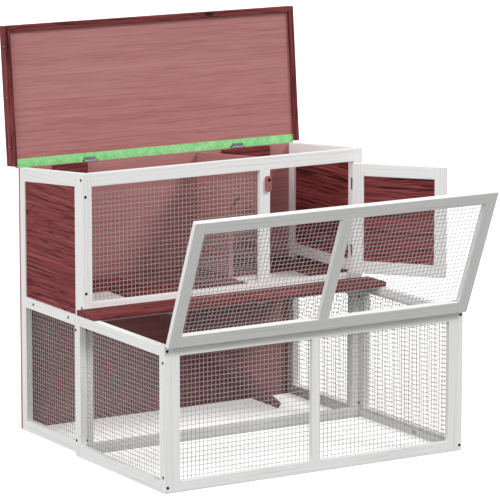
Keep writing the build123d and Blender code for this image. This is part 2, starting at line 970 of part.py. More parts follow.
# Turn button that holds the shut door, hanging from a screw in the mullion.
button_back_y = front_face_y - button_play
button_centre_z = button_pivot_z + button_end_to_pivot - button_length / 2
with BuildPart() as turn_button:
    with BuildSketch(Plane.XZ.offset(-button_back_y)):
        with Locations((button_pivot_x, button_centre_z)):
            RectangleRounded(button_width, button_length, button_corner_radius)
        with Locations((button_pivot_x, button_pivot_z)):
            Circle(screw_radius + pin_clearance, mode=Mode.SUBTRACT)
    extrude(amount=button_thickness)
    outer_edges = turn_button.faces().sort_by(Axis.Y)[0].outer_wire().edges()
    chamfer(outer_edges, length=button_chamfer)
save(turn_button.part, "turn_button")

# The screw: a shank through the button into the mullion and a bevelled head over the button.
head_seat_y = button_back_y - button_thickness - button_play
with BuildPart() as turn_button_screw:
    with BuildSketch(Plane.XZ.offset(-(front_face_y + screw_depth))):
        with Locations((button_pivot_x, button_pivot_z)):
            Circle(screw_radius)
    extrude(amount=front_face_y + screw_depth - head_seat_y)
    with BuildSketch(Plane.XZ.offset(-head_seat_y)):
        with Locations((button_pivot_x, button_pivot_z)):
            Circle(screw_head_radius)
    extrude(amount=screw_head_height)
    head_rim = turn_button_screw.faces().sort_by(Axis.Y)[0].edges()
    chamfer(head_rim, length=screw_head_chamfer)
save(turn_button_screw.part, "turn_button_screw")
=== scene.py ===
import json
import math

import bmesh
import bpy
from mathutils import Matrix, Vector, noise


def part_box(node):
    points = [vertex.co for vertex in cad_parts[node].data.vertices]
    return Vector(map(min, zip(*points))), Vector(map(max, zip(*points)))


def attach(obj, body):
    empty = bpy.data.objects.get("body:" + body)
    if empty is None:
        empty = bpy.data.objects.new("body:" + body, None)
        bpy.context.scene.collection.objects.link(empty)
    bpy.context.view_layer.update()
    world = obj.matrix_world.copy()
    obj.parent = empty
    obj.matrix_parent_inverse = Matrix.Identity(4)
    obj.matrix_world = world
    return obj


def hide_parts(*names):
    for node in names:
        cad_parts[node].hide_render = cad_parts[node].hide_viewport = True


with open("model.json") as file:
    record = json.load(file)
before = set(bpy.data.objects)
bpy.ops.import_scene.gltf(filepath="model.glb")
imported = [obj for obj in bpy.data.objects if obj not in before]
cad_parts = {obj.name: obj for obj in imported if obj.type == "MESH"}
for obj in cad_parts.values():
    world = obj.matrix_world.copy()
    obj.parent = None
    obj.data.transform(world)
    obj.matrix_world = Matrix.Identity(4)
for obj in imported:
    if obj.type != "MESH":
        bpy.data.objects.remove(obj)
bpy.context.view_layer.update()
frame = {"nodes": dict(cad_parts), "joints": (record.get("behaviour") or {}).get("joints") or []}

bl_info = {
    "name": "Rabbit cage dressing",
    "version": (1, 0, 0),
    "blender": (4, 5, 0),
    "location": "3D View > Sidebar > Cage",
    "description": "Paints, meshes and fastens a wooden rabbit cage built on its CAD frame",
    "category": "Object",
}

MM = 0.001

# Real angles and places of the cage that the CAD frame does not state by itself, in radians and
# millimetres. The roof and hatch hinges are given by their middle along X, the door's by its height.
LID_LEAN = math.radians(5.33)
HATCH_LEAN = math.radians(22.5)
DOOR_TURN = math.radians(-49.0)
RAMP_SLOPE = math.radians(41.2)
ROOF_HINGES = (-226.5, 269.0)
HATCH_HINGES = (-290.0, 290.0)
DOOR_HINGES = (497.0, 692.5)
LID_HALF_WIDTH = 480.0

# Node kinds that come up often.
MATH, MAPPING, MAP_RANGE = "ShaderNodeMath", "ShaderNodeMapping", "ShaderNodeMapRange"
VECTOR_MATH = "ShaderNodeVectorMath"


def joint_place(name):
    """Where a joint's axis stands in the frame."""
    for joint in frame["joints"]:
        if joint["name"] == name:
            return Vector(joint["pos_m"])
    raise RuntimeError(f"the frame has no joint {name}")


def linear(code):
    """sRGB hex code to the linear colour that Blender's sockets take."""
    channels = [int(code[i : i + 2], 16) / 255 for i in (1, 3, 5)]
    return tuple(c / 12.92 if c <= 0.04045 else ((c + 0.055) / 1.055) ** 2.4 for c in channels) + (1.0,)


def add(tree, kind, settings=None, inputs=None, out=None):
    """Adds a node, sets its properties, and gives each input a value or joins it to a socket.
    Returns the node, or the output that is asked for."""
    made = tree.nodes.new(kind)
    for name, value in (settings or {}).items():
        setattr(made, name, value)
    for name, value in (inputs or {}).items():
        if isinstance(value, bpy.types.NodeSocket):
            tree.links.new(value, made.inputs[name])
        else:
            made.inputs[name].default_value = value
    return made if out is None else made.outputs[out]


def weighted(tree, parts, start=0.0, clamp=False):
    """Sum of sockets, each times its weight, on top of a start value."""
    total = start
    for socket, weight in parts:
        total = add(tree, MATH, {"operation": "MULTIPLY_ADD"}, {0: socket, 1: weight, 2: total}, 0)
    total.node.use_clamp = clamp
    return total


def turned(*steps):
    """Euler angles that lay a grain running along X along another direction."""
    whole = Matrix.Identity(3)
    for axis, angle in steps:
        whole = whole @ Matrix.Rotation(angle, 3, axis)
    return whole.to_euler("XYZ")


ALONG_X = turned()
ALONG_Y = turned(("Z", math.pi / 2))
ALONG_Z = turned(("Y", -math.pi / 2))
UP_LID = turned(("X", -LID_LEAN), ("Y", -math.pi / 2))
ACROSS_LID = turned(("X", -LID_LEAN))
UP_HATCH = turned(("X", HATCH_LEAN), ("Y", -math.pi / 2))
ACROSS_HATCH = turned(("X", HATCH_LEAN))
ALONG_DOOR = turned(("Z", DOOR_TURN))
UP_DOOR = turned(("Z", DOOR_TURN), ("Y", -math.pi / 2))
DOWN_RAMP = turned(("Y", RAMP_SLOPE))


# Finishes


def new_material(name):
    """Material with an empty node tree, and that tree."""
    made = bpy.data.materials.new(name)
    made.use_nodes = True
    made.node_tree.nodes.clear()
    return made, made.node_tree


def finish_surface(tree, tone, stops, roughness, height, bump, distance, inputs=None):
    """Principled surface coloured by a tone through (position, hex) stops, with a bump from a height."""
    ramp = add(tree, "ShaderNodeValToRGB", None, {"Fac": tone})
    elements = ramp.color_ramp.elements
    elements.remove(elements[-1])
    elements[0].position, elements[0].color = stops[0][0], linear(stops[0][1])
    for position, code in stops[1:]:
        elements.new(position).color = linear(code)
    raised = add(
        tree, "ShaderNodeBump", None, {"Height": height, "Strength": bump, "Distance": distance}, "Normal"
    )
    joined = {"Base Color": ramp.outputs["Color"], "Roughness": roughness, "Normal": raised}
    surface = add(tree, "ShaderNodeBsdfPrincipled", None, {**joined, **(inputs or {})}, "BSDF")
    add(tree, "ShaderNodeOutputMaterial", None, {"Surface": surface})


def streaks(tree, grain, scale, detail, roughness=0.5, distortion=0.0):
    """Noise with its own scale along and across the grain, in waves a metre."""
    laid = add(tree, MAPPING, None, {"Vector": grain, "Scale": scale}, "Vector")
    return add(tree, "ShaderNodeTexNoise", None, {
        "Vector": laid, "Scale": 1.0, "Detail": detail, "Roughness": roughness, "Distortion": distortion,
    }, "Fac")


def spots(tree, cell, share, inner, outer):
    """One in the middle of a share of the cells, fading to nothing from the inner to the outer radius."""
    chance = add(tree, "ShaderNodeSeparateColor", None, {"Color": cell.outputs["Color"]}, "Red")
    chosen = add(tree, MATH, {"operation": "GREATER_THAN"}, {0: chance, 1: 1.0 - share}, 0)
    fade = add(tree, MAP_RANGE, {"interpolation_type": "SMOOTHSTEP"}, {
        "Value": cell.outputs["Distance"], "From Min": inner, "From Max": outer, "To Min": 1.0, "To Max": 0.0,
    }, "Result")
    return add(tree, MATH, {"operation": "MULTIPLY"}, {0: fade, 1: chosen}, 0)


# Radians of growth ring a metre, which puts the rings 12 mm apart.
RING_TURN = 520.0
# How far the pattern of one plank lies from that of the next, in metres.
PLANK_SHIFT = (1.37, 0.71, 2.13)


def pine(
    name, turn, stops, streak, knots, bump, roughness, contrast, plank=None, seed=0.0,
    fibres=(5.0, 230.0, 230.0), gloss=0.2, lines=0.0,
):
    """Planed pine whose grain runs along the turned X axis: fibre streaks a few millimetres apart,
    growth rings about every 12 mm that bend round the knots, and a new board at every plank joint.
    streak holds the weights of fibre, broad stripe and ring."""
    material, tree = new_material(name)
    place = add(tree, "ShaderNodeTexCoord", out="Object")
    if plank:
        axis, start, pitch = plank
        along = add(tree, VECTOR_MATH, {"operation": "DOT_PRODUCT"}, {0: place, 1: axis}, "Value")
        along = add(tree, MATH, {"operation": "SUBTRACT"}, {0: along, 1: start}, 0)
        along = add(tree, MATH, {"operation": "DIVIDE"}, {0: along, 1: pitch}, 0)
        board = add(tree, MATH, {"operation": "FLOOR"}, {0: along}, 0)
        shift = add(tree, VECTOR_MATH, {"operation": "SCALE"}, {0: PLANK_SHIFT, "Scale": board}, "Vector")
        place = add(tree, VECTOR_MATH, {"operation": "ADD"}, {0: place, 1: shift}, "Vector")
    grain = add(
        tree, MAPPING, {"vector_type": "TEXTURE"},
        {"Vector": place, "Location": (seed, seed * 0.37, seed * 0.61), "Rotation": turn}, "Vector",
    )
    # Knots lie about 200 mm apart along the board and are about 15 mm across.
    cells = add(tree, MAPPING, None, {"Vector": grain, "Scale": (5.0, 9.5, 9.5)}, "Vector")
    cell = add(tree, "ShaderNodeTexVoronoi", None, {"Vector": cells, "Scale": 1.0, "Randomness": 0.9})
    knot = spots(tree, cell, knots, 0.03, 0.09)
    bend = spots(tree, cell, knots, 0.0, 0.35)
    # Growth rings wander slowly along the board and swing round each knot. Their dark part is thin.
    wander = streaks(tree, grain, (1.6, 11.0, 11.0), 3.0)
    across = add(tree, "ShaderNodeSeparateXYZ", None, {"Vector": grain}).outputs
    phase = weighted(tree, (
        (wander, 22.0), (across["Y"], RING_TURN), (across["Z"], RING_TURN), (bend, 9.0),
    ))
    wave = add(tree, MATH, {"operation": "SINE"}, {0: phase}, 0)
    wave = weighted(tree, ((wave, 0.5),), 0.5)
    ring = add(tree, MATH, {"operation": "POWER"}, {0: wave, 1: 0.45}, 0)
    fibre = streaks(tree, grain, fibres, 4.0, 0.6, 0.4)
    stripe = streaks(tree, grain, (2.0, 60.0, 60.0), 4.0, 0.55, 0.6)
    weights = [contrast * share for share in streak]
    tone = weighted(tree, zip((fibre, stripe, ring), weights), 0.5 - 0.5 * sum(weights))
    if lines:
        # Dark late-wood lines about 4 mm tall and 150 mm long, broken and wavy.
        dash = streaks(tree, grain, (4.5, 135.0, 135.0), 2.0, 0.5, 1.2)
        dark = add(
            tree, MAP_RANGE, {"interpolation_type": "SMOOTHSTEP"},
            {"Value": dash, "From Min": 0.37, "From Max": 0.46, "To Min": -lines, "To Max": 0.08}, "Result",
        )
        tone = weighted(tree, ((dark, 1.0),), tone)
    tone = weighted(tree, ((knot, -0.75),), tone, clamp=True)
    # The dark late wood is a little rougher than the pale early wood.
    sheen = add(tree, MAP_RANGE, None, {
        "Value": tone, "From Min": 0.2, "From Max": 0.8,
        "To Min": roughness + 0.08, "To Max": roughness - 0.06,
    }, "Result")
    finish_surface(tree, tone, stops, sheen, tone, bump, 0.5 * MM, {"Specular IOR Level": gloss})
    return material


def whitewash(direction, turn):
    """Pine under a thin matt whitewash: the fibre shows as pale grey lines and hardly any knots."""
    return pine(
        f"Whitewashed pine, grain {direction}", turn,
        ((0.0, "#B9B6B2"), (0.22, "#DAD9D7"), (0.5, "#EBEBEA"), (1.0, "#F2F2F1")),
        (0.42, 0.42, 0.16), 0.10, 0.25, 0.66, 1.5, seed=3.1,
    )


PLANK_STAIN = ((0.0, "#220A0B"), (0.22, "#451718"), (0.48, "#6A292B"), (0.75, "#873F41"), (1.0, "#A65E60"))
DEEP_STAIN = ((0.0, "#1E090A"), (0.22, "#3F1516"), (0.48, "#632426"), (0.75, "#80393B"), (1.0, "#9C5557"))


def red_stain(direction, turn, plank, seed):
    """Pine under a dark red wood stain: the soft wood drinks it and the rings and knots go nearly
    black. Single boards took more of it than the planks."""
    return pine(
        f"Red stained pine, grain {direction}", turn, PLANK_STAIN if plank else DEEP_STAIN,
        (0.5, 0.34, 0.12), 0.55, 0.35, 0.72, 1.9, plank, seed, (4.2, 250.0, 250.0), lines=0.34,
    )


def ramp_wood(direction, turn, seed):
    """The ramp's board and cleats: pine under the thin pink stain, paler than the planks."""
    return pine(
        f"Pink stained pine, grain {direction}", turn,
        ((0.0, "#5E3434"), (0.4, "#8F5A59"), (0.7, "#A87473"), (1.0, "#B98A88")),
        (0.5, 0.4, 0.12), 0.3, 0.3, 0.68, 1.8, seed=seed,
    )


def button_wood():
    """Small hardwood button under a thin pink-brown stain, its grain along its length."""
    return pine(
        "Pink stained beech", ALONG_Z, ((0.1, "#74403C"), (0.5, "#9C5C57"), (0.9, "#B07570")),
        (0.5, 0.4, 0.1), 0.0, 0.25, 0.6, 1.5, seed=2.2, gloss=0.25,
    )


def pink_ply(direction, turn):
    """Rotary-cut plywood under a thin red stain: pale pink with long soft figure and small dark pins."""
    material, tree = new_material(f"Stained plywood, figure {direction}")
    place = add(tree, "ShaderNodeTexCoord", out="Object")
    grain = add(tree, MAPPING, {"vector_type": "TEXTURE"}, {"Vector": place, "Rotation": turn}, "Vector")
    figure = streaks(tree, grain, (0.5, 14.0, 14.0), 3.0, distortion=0.3)
    fibre = streaks(tree, grain, (9.0, 260.0, 260.0), 3.0)
    line = streaks(tree, grain, (1.3, 75.0, 75.0), 4.0, distortion=0.35)
    # Pins lie about 200 to 300 mm apart and are a few millimetres across.
    cells = add(tree, MAPPING, None, {"Vector": grain, "Scale": (3.4, 5.2, 5.2)}, "Vector")
    cell = add(tree, "ShaderNodeTexVoronoi", None, {"Vector": cells, "Scale": 1.0})
    pin = spots(tree, cell, 0.28, 0.02, 0.045)
    tone = weighted(tree, ((figure, 0.3), (line, 0.4), (fibre, 0.5), (pin, -0.6)), -0.1, clamp=True)
    sheen = weighted(tree, ((tone, -0.15),), 0.7)
    finish_surface(
        tree, tone, ((0.0, "#4A1E20"), (0.3, "#985F5D"), (0.5, "#AD7573"), (0.75, "#B98784")),
        sheen, tone, 0.15, 0.3 * MM, {"Specular IOR Level": 0.2},
    )
    return material


def green_felt():
    """Bitumen roofing felt with crushed green mineral on it: 1 mm grit, cloudy from rolling."""
    material, tree = new_material("Green mineral roofing felt")
    place = add(tree, "ShaderNodeTexCoord", out="Object")
    grit = add(tree, "ShaderNodeTexVoronoi", None, {"Vector": place, "Scale": 900.0}).outputs
    cloud = streaks(tree, place, (38.0, 38.0, 38.0), 4.0, 0.65)
    speck = add(tree, "ShaderNodeSeparateColor", None, {"Color": grit["Color"]}, "Green")
    tone = weighted(tree, ((cloud, 0.7), (speck, 0.35)), clamp=True)
    finish_surface(
        tree, tone, ((0.2, "#5DB361"), (0.45, "#80CF80"), (0.62, "#A0E49E"), (0.85, "#BCF0B8")),
        weighted(tree, ((speck, 0.1),), 0.86), grit["Distance"], 0.35, 0.4 * MM,
    )
    return material


def stamped_steel():
    """Stamped hinge steel with a thin bright zinc plate: fine rolling lines and a few dull spots."""
    material, tree = new_material("Zinc plated hinge steel")
    place = add(tree, "ShaderNodeTexCoord", out="Object")
    roll = streaks(tree, place, (120.0, 2600.0, 2600.0), 2.0)
    spot = streaks(tree, place, (240.0, 240.0, 240.0), 3.0)
    tone = weighted(tree, ((spot, 0.6), (roll, 0.4)))
    finish_surface(
        tree, tone, ((0.3, "#5E5F60"), (0.6, "#8A8B8B")), weighted(tree, ((tone, 0.3),), 0.28), roll, 0.15,
        0.1 * MM, {"Metallic": 1.0},
    )
    return material


def mottled(name, scale, detail, stops, roughness, rough_change, bump, inputs):
    """Small metal pieces whose colour and gloss vary together in patches."""
    material, tree = new_material(name)
    patch = streaks(tree, add(tree, "ShaderNodeTexCoord", out="Object"), scale, detail)
    rough = weighted(tree, ((patch, rough_change),), roughness)
    finish_surface(tree, patch, stops, rough, patch, bump, 0.1 * MM, inputs)
    return material


def zinc_wire():
    """Galvanised steel wire: a zinc skin gone dull and slightly patchy."""
    return mottled(
        "Galvanised steel wire", (160.0, 160.0, 160.0), 3.0,
        ((0.3, "#9B9896"), (0.55, "#AAA7A5"), (0.8, "#B9B6B4")), 0.5, 0.2, 0.1, {"Metallic": 0.2},
    )


def black_screw():
    """Black phosphated screw steel: nearly black, faintly mottled and matt."""
    return mottled(
        "Black phosphated screw steel", (900.0, 900.0, 900.0), 3.0, ((0.3, "#040404"), (0.7, "#0C0C0C")),
        0.35, 0.3, 0.2, {"Specular IOR Level": 0.08},
    )


def painted_steel():
    """Steel leaves brushed over with the whitewash of the frames: matt, slightly streaky."""
    return mottled(
        "Whitewashed hinge steel", (60.0, 500.0, 500.0), 3.0, ((0.3, "#DDDDDB"), (0.6, "#EBEBEA")),
        0.5, 0.15, 0.2, {"Specular IOR Level": 0.3},
    )


def bright_nail():
    """Bright steel brad heads, slightly dulled, that stand flush in the lid boards."""
    return mottled(
        "Bright brad steel", (700.0, 700.0, 700.0), 2.0, ((0.3, "#BDB3B0"), (0.7, "#DAD2CE")),
        0.4, 0.2, 0.1, {"Metallic": 0.3},
    )


# Which finish each CAD node gets: the finish, the way its grain runs, and the name of that way.
WHITE_NODES = (
    ("along X", ALONG_X, ("upper_front_rails", "lower_front_rails", "run_front_rails", "floor_sheet")),
    ("along Y", ALONG_Y, (
        "house_left_rails", "house_right_rails", "house_left_cleat", "house_right_cleat",
        "run_left_rails", "run_right_rails", "floor_bearers",
    )),
    ("along Z", ALONG_Z, (
        "house_left_stiles", "house_right_stiles", "upper_front_stiles", "upper_front_mullion",
        "lower_front_stiles", "run_left_stiles", "run_right_stiles", "run_front_stiles", "run_front_mullion",
    )),
    ("up the hatch", UP_HATCH, ("hatch_stiles", "hatch_mullion")),
    ("across the hatch", ACROSS_HATCH, ("hatch_rails",)),
    ("up the door", UP_DOOR, ("door_stiles",)),
    ("across the door", ALONG_DOOR, ("door_rails",)),
)
# The third entry of a red row is the plank pattern: the way across the planks, where the first one
# starts and how wide each is, in metres. The fourth is the seed of the grain.
RED_NODES = (
    ("of the side planks", ALONG_Y, ((0, 0, 1), 0.3925, 0.091), 0.0, (
        "house_left_planks", "house_right_planks",
    )),
    ("of the door planks", ALONG_DOOR, ((0, 0, 1), 0.471, 0.0832), 1.7, ("door_planks",)),
    ("of the ledge", ALONG_X, None, 5.2, ("ledge_board",)),
    ("of the floor boards", ALONG_X, ((0, 1, 0), 0.2035, 0.081), 2.9, (
        "floor_rear_boards", "floor_front_boards",
    )),
    ("of the hinge blocks", ALONG_X, None, 6.4, ("hinge_blocks",)),
    ("up the lid", UP_LID, None, 4.3, ("lid_side_boards",)),
    ("across the lid", ACROSS_LID, None, 7.7, ("lid_front_board",)),
)
RAMP_NODES = (
    ("down the ramp", DOWN_RAMP, 8.1, "ramp_board"), ("across the ramp", ALONG_Y, 9.3, "ramp_cleats"),
)
PLY_NODES = (
    ("along X", ALONG_X, ("back_wall",)),
    ("along Y", ALONG_Y, ("partition",)),
    ("across the lid", ACROSS_LID, ("lid_panel",)),
)
HINGE_NODES = (
    "roof_hinge_fixed_leaves", "roof_hinge_lid_leaves", "door_hinge_fixed_leaves", "door_hinge_door_leaves",
)
PAINTED_HINGE_NODES = ("hatch_hinge_fixed_leaves", "hatch_hinge_hatch_leaves")


def dress(names, material):
    """Gives CAD nodes a finish, one material in all of their slots."""
    for name in names:
        mesh = frame["nodes"][name].data
        mesh.materials.clear()
        mesh.materials.append(material)


# Geometry Nodes trees


def group_with(name, inputs):
    """Geometry tree with named inputs and one geometry output: the tree, its inputs, their identifiers."""
    tree = bpy.data.node_groups.new(name, "GeometryNodeTree")
    tree.interface.new_socket("Geometry", in_out="OUTPUT", socket_type="NodeSocketGeometry")
    sockets = {}
    for label, kind, default in inputs:
        socket = tree.interface.new_socket(label, in_out="INPUT", socket_type=kind)
        if default is not None:
            socket.default_value = default
        sockets[label] = socket.identifier
    return tree, add(tree, "NodeGroupInput").outputs, sockets


def end_group(tree, geometry, material):
    """Ends a geometry tree: real geometry instead of instances, with its material set."""
    real = add(tree, "GeometryNodeRealizeInstances", None, {"Geometry": geometry}, "Geometry")
    dressed = add(tree, "GeometryNodeSetMaterial", None, {"Geometry": real, "Material": material}, "Geometry")
    add(tree, "NodeGroupOutput", None, {"Geometry": dressed})


def run_tree(tree, sockets, values, start=None):
    """Runs a geometry tree on a start mesh and returns the result as a plain mesh."""
    holder = bpy.data.objects.new("tree_holder", start or bpy.data.meshes.new("tree_start"))
    bpy.context.scene.collection.objects.link(holder)
    modifier = holder.modifiers.new(tree.name, "NODES")
    modifier.node_group = tree
    for label, value in values.items():
        modifier[sockets[label]] = value
    evaluated = holder.evaluated_get(bpy.context.evaluated_depsgraph_get())
    mesh = bpy.data.meshes.new_from_object(evaluated)
    bpy.data.objects.remove(holder)
    return mesh


def join(name, meshes):
    """One object at the origin from several meshes, each given with the matrix that places it."""
    whole = bmesh.new()
    for mesh, matrix in meshes:
        part = mesh.copy()
        part.transform(matrix)
        whole.from_mesh(part)
        bpy.data.meshes.remove(part)
    result = bpy.data.meshes.new(name)
    whole.to_mesh(result)
    whole.free()
    for material in meshes[0][0].materials:
        result.materials.append(material)
    made = bpy.data.objects.new(name, result)
    bpy.context.scene.collection.objects.link(made)
    return made


def welded_net_tree():
    """Flat net in its own XY plane: straight wires across and up, the upright ones lying on the
    others, one pitch apart from the middle out, each a little off its place."""
    tree, given, sockets = group_with("Welded wire net", (
        ("Width", "NodeSocketFloat", 0.5), ("Height", "NodeSocketFloat", 0.3),
        ("Pitch", "NodeSocketFloat", 0.0127), ("Wire", "NodeSocketFloat", 0.0012),
        ("Uneven", "NodeSocketFloat", 0.0002), ("Seed", "NodeSocketInt", 1),
        ("Material", "NodeSocketMaterial", None),
    ))
    radius = add(tree, MATH, {"operation": "MULTIPLY"}, {0: given["Wire"], 1: 0.5}, 0)
    low = add(tree, MATH, {"operation": "MULTIPLY"}, {0: given["Uneven"], 1: -1.0}, 0)
    joined = add(tree, "GeometryNodeJoinGeometry")
    for axis, length, span, turn, lift, seed_step in (
        ("X", "Height", "Width", (math.pi / 2, 0.0, 0.0), 0.45, 0),
        ("Y", "Width", "Height", (0.0, math.pi / 2, 0.0), -0.45, 17),
    ):
        half = add(tree, MATH, {"operation": "MULTIPLY"}, {0: given[span], 1: 0.5}, 0)
        steps = add(tree, MATH, {"operation": "DIVIDE"}, {0: half, 1: given["Pitch"]}, 0)
        whole = add(tree, MATH, {"operation": "FLOOR"}, {0: steps}, 0)
        count = add(tree, MATH, {"operation": "MULTIPLY_ADD"}, {0: whole, 1: 2.0, 2: 1.0}, 0)
        first = add(tree, MATH, {"operation": "MULTIPLY"}, {0: whole, 1: given["Pitch"]}, 0)
        first = add(tree, MATH, {"operation": "MULTIPLY"}, {0: first, 1: -1.0}, 0)
        height = add(tree, MATH, {"operation": "MULTIPLY"}, {0: given["Wire"], 1: lift}, 0)
        start = add(tree, "ShaderNodeCombineXYZ", None, {axis: first, "Z": height}, 0)
        step = add(tree, "ShaderNodeCombineXYZ", None, {axis: given["Pitch"]}, 0)
        row = add(
            tree, "GeometryNodeMeshLine", {"mode": "OFFSET"},
            {"Count": count, "Start Location": start, "Offset": step}, "Mesh",
        )
        wire = add(
            tree, "GeometryNodeMeshCylinder", {"fill_type": "NGON"},
            {"Vertices": 6, "Side Segments": 1, "Radius": radius, "Depth": given[length]}, "Mesh",
        )
        seed = add(tree, MATH, {"operation": "ADD"}, {0: given["Seed"], 1: float(seed_step)}, 0)
        # Inputs 2 and 3 and output 1 are those of a random number, not of a vector.
        off = add(
            tree, "FunctionNodeRandomValue", {"data_type": "FLOAT"},
            {2: low, 3: given["Uneven"], "Seed": seed}, 1,
        )
        aside = add(tree, "ShaderNodeCombineXYZ", None, {axis: off}, 0)
        placed = add(tree, "GeometryNodeSetPosition", None, {"Geometry": row, "Offset": aside}, "Geometry")
        copies = add(
            tree, "GeometryNodeInstanceOnPoints", None,
            {"Points": placed, "Instance": wire, "Rotation": turn}, "Instances",
        )
        tree.links.new(copies, joined.inputs["Geometry"])
    end_group(tree, joined.outputs["Geometry"], given["Material"])
    return tree, sockets


def fastener_tree(name):
    """Copies one head onto every point, turned so that it faces along the point's own direction."""
    tree, given, sockets = group_with(name, (
        ("Points", "NodeSocketGeometry", None), ("Head", "NodeSocketObject", None),
        ("Seed", "NodeSocketInt", 1), ("Material", "NodeSocketMaterial", None),
    ))
    head = add(
        tree, "GeometryNodeObjectInfo", None, {"Object": given["Head"], "As Instance": False}, "Geometry"
    )
    facing = add(
        tree, "GeometryNodeInputNamedAttribute", {"data_type": "FLOAT_VECTOR"}, {"Name": "facing"},
        "Attribute",
    )
    upright = add(tree, "FunctionNodeAlignRotationToVector", {"axis": "Z"}, {"Vector": facing}, "Rotation")
    spin = add(
        tree, "FunctionNodeRandomValue", {"data_type": "FLOAT"}, {2: 0.0, 3: 6.283, "Seed": given["Seed"]}, 1
    )
    about = add(tree, "FunctionNodeAxisAngleToRotation", None, {"Axis": (0, 0, 1), "Angle": spin}, "Rotation")
    turn = add(
        tree, "FunctionNodeRotateRotation", {"rotation_space": "LOCAL"},
        {"Rotation": upright, "Rotate By": about}, "Rotation",
    )
    copies = add(
        tree, "GeometryNodeInstanceOnPoints", None,
        {"Points": given["Points"], "Instance": head, "Rotation": turn}, "Instances",
    )
    end_group(tree, copies, given["Material"])
    return tree, sockets


def screw_head_mesh(radius, rise=0.8 * MM):
    """Countersunk head seen from outside: a rim, a flat and a cross recess, closed behind; it stands
    up by the given rise, which is hardly anything on a hinge leaf."""
    whole = bmesh.new()
    sides = 12
    rings = []
    for ring_radius, z in ((radius * 0.92, -0.4 * MM), (radius, 0.5 * rise), (radius * 0.86, rise)):
        rings.append([
            whole.verts.new((ring_radius * math.cos(a), ring_radius * math.sin(a), z))
            for a in (2 * math.pi * (i - 0.5) / sides for i in range(sides))
        ])
    # The recess is a cross of four arms with as many corners as the rim, joined corner to corner.
    arm, neck = radius * 0.62, radius * 0.2
    cross = []
    for quarter in range(4):
        turn = Matrix.Rotation(quarter * math.pi / 2, 2)
        for x, y in ((arm, -neck * 0.6), (arm, neck * 0.6), (neck, neck)):
            corner = turn @ Vector((x, y))
            cross.append(corner)
    top = [whole.verts.new((c.x, c.y, rise)) for c in cross]
    deep = [whole.verts.new((c.x * 0.7, c.y * 0.7, 0.25 * rise)) for c in cross]
    for low, high in zip(rings, rings[1:]):
        for i in range(sides):
            j = (i + 1) % sides
            whole.faces.new((low[i], low[j], high[j], high[i]))
    whole.faces.new(list(reversed(rings[0])))
    for i in range(sides):
        j = (i + 1) % sides
        whole.faces.new((rings[-1][i], rings[-1][j], top[j], top[i]))
        whole.faces.new((top[i], top[j], deep[j], deep[i]))
    whole.faces.new(deep)
    bmesh.ops.recalc_face_normals(whole, faces=whole.faces)
    mesh = bpy.data.meshes.new("screw_head")
    whole.to_mesh(mesh)
    whole.free()
    return mesh


def nail_head_mesh(radius):
    """Small domed brad head."""
    whole = bmesh.new()
    sides = 10
    rings = []
    for ring_radius, z in ((radius, -0.3 * MM), (radius, 0.15 * MM), (radius * 0.6, 0.35 * MM)):
        rings.append([
            whole.verts.new((ring_radius * math.cos(a), ring_radius * math.sin(a), z))
            for a in (2 * math.pi * i / sides for i in range(sides))
        ])
    for low, high in zip(rings, rings[1:]):
        for i in range(sides):
            j = (i + 1) % sides
            whole.faces.new((low[i], low[j], high[j], high[i]))
    whole.faces.new(list(reversed(rings[0])))
    whole.faces.new(rings[-1])
    mesh = bpy.data.meshes.new("nail_head")
    whole.to_mesh(mesh)
    whole.free()
    return mesh


def staple_mesh(width, wire):
    """Staple crown that straddles one wire: a flattened bar with its ends bent into the wood."""
    whole = bmesh.new()
    half, thick = width / 2, wire / 2
    foot, crown, hollow = -0.8 * MM, 1.1 * MM, 0.5 * MM
    profile = ((-half, foot), (-half, crown), (half, crown), (half, foot))
    inner = ((-half + wire, foot), (-half + wire, hollow), (half - wire, hollow), (half - wire, foot))
    loops = []
    for y in (-thick, thick):
        loops.append((
            [whole.verts.new((x, y, z)) for x, z in profile], [whole.verts.new((x, y, z)) for x, z in inner],
        ))
    (outer_a, inner_a), (outer_b, inner_b) = loops
    for i in range(3):
        whole.faces.new((outer_a[i], outer_a[i + 1], outer_b[i + 1], outer_b[i]))
        whole.faces.new((inner_a[i], inner_b[i], inner_b[i + 1], inner_a[i + 1]))
        whole.faces.new((outer_a[i], inner_a[i], inner_a[i + 1], outer_a[i + 1]))
        whole.faces.new((outer_b[i], outer_b[i + 1], inner_b[i + 1], inner_b[i]))
    for i in (0, 3):
        whole.faces.new((outer_a[i], outer_b[i], inner_b[i], inner_a[i]))
    bmesh.ops.recalc_face_normals(whole, faces=whole.faces)
    mesh = bpy.data.meshes.new("staple")
    whole.to_mesh(mesh)
    whole.free()
    return mesh


def points_mesh(places):
    """Loose points that carry the direction each fastener faces."""
    mesh = bpy.data.meshes.new("fastener_points")
    mesh.from_pydata([tuple(place) for place, facing in places], [], [])
    facing = mesh.attributes.new("facing", "FLOAT_VECTOR", "POINT")
    for item, (place, direction) in zip(facing.data, places):
        item.vector = tuple(direction)
    return mesh


# Where the nets and fasteners sit


def in_plane(origin, along, up):
    """Matrix that lays a piece drawn in XY on a plane: its X along one way, its Y up another."""
    across, rise = Vector(along).normalized(), Vector(up).normalized()
    out = across.cross(rise)
    return Matrix((
        (across.x, rise.x, out.x, origin[0]), (across.y, rise.y, out.y, origin[1]),
        (across.z, rise.z, out.z, origin[2]), (0, 0, 0, 1),
    ))


def hatch_point(x, s, h):
    """Point of the open hatch: s up from its pins, h out of its outer face, which looks forward and down."""
    pin = joint_place("hatch_hinge")
    up = Vector((0, -math.sin(HATCH_LEAN), math.cos(HATCH_LEAN)))
    out = Vector((0, -math.cos(HATCH_LEAN), -math.sin(HATCH_LEAN)))
    return Vector((x, pin.y, pin.z)) + up * s + out * h


